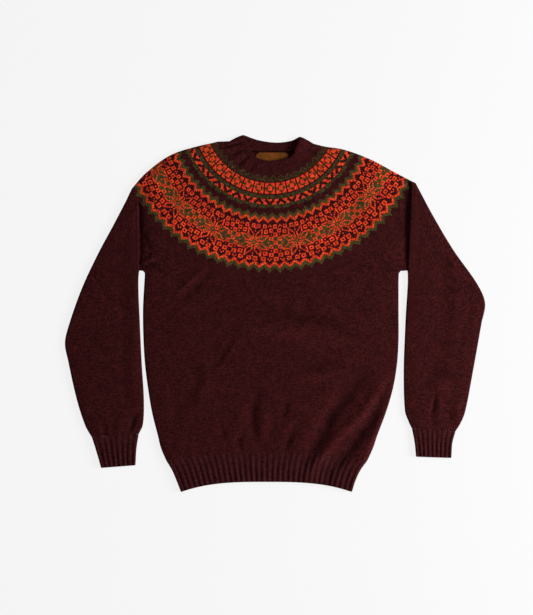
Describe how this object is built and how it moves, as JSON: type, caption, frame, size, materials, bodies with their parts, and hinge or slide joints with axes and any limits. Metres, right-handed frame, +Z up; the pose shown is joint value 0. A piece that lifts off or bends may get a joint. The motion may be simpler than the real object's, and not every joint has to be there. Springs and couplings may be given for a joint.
{
  "type": "crewneck sweater",
  "caption": "Crew-neck wool pullover with a round patterned yoke and ribbed hem, cuffs and neckband, laid flat on its back with the sleeves brought down beside the body.",
  "frame": {"origin": "middle of the garment's outline, on the surface that it lies on", "axes": "+Z up from the surface to the front of the garment, +Y from the hem to the neck, +X to the wearer's left"},
  "size_m": [0.84, 0.713, 0.011],
  "materials": {
    "maroon_wool": "heathered wool in plain knit and ribbing, matt",
    "patterned_wool": "two-colour wool knit in bands of orange, olive and maroon, matt",
    "label_satin": "woven gold-brown satin, bare"
  },
  "bodies": {
    "root": {"body_front": "maroon_wool", "body_back": "maroon_wool", "yoke": "patterned_wool", "neckband": "maroon_wool", "hem_rib_front": "maroon_wool", "hem_rib_back": "maroon_wool", "sleeve_right": "maroon_wool", "sleeve_left": "maroon_wool", "cuff_right": "maroon_wool", "cuff_left": "maroon_wool", "neck_label": "label_satin"}
  },
  "joints": []
}
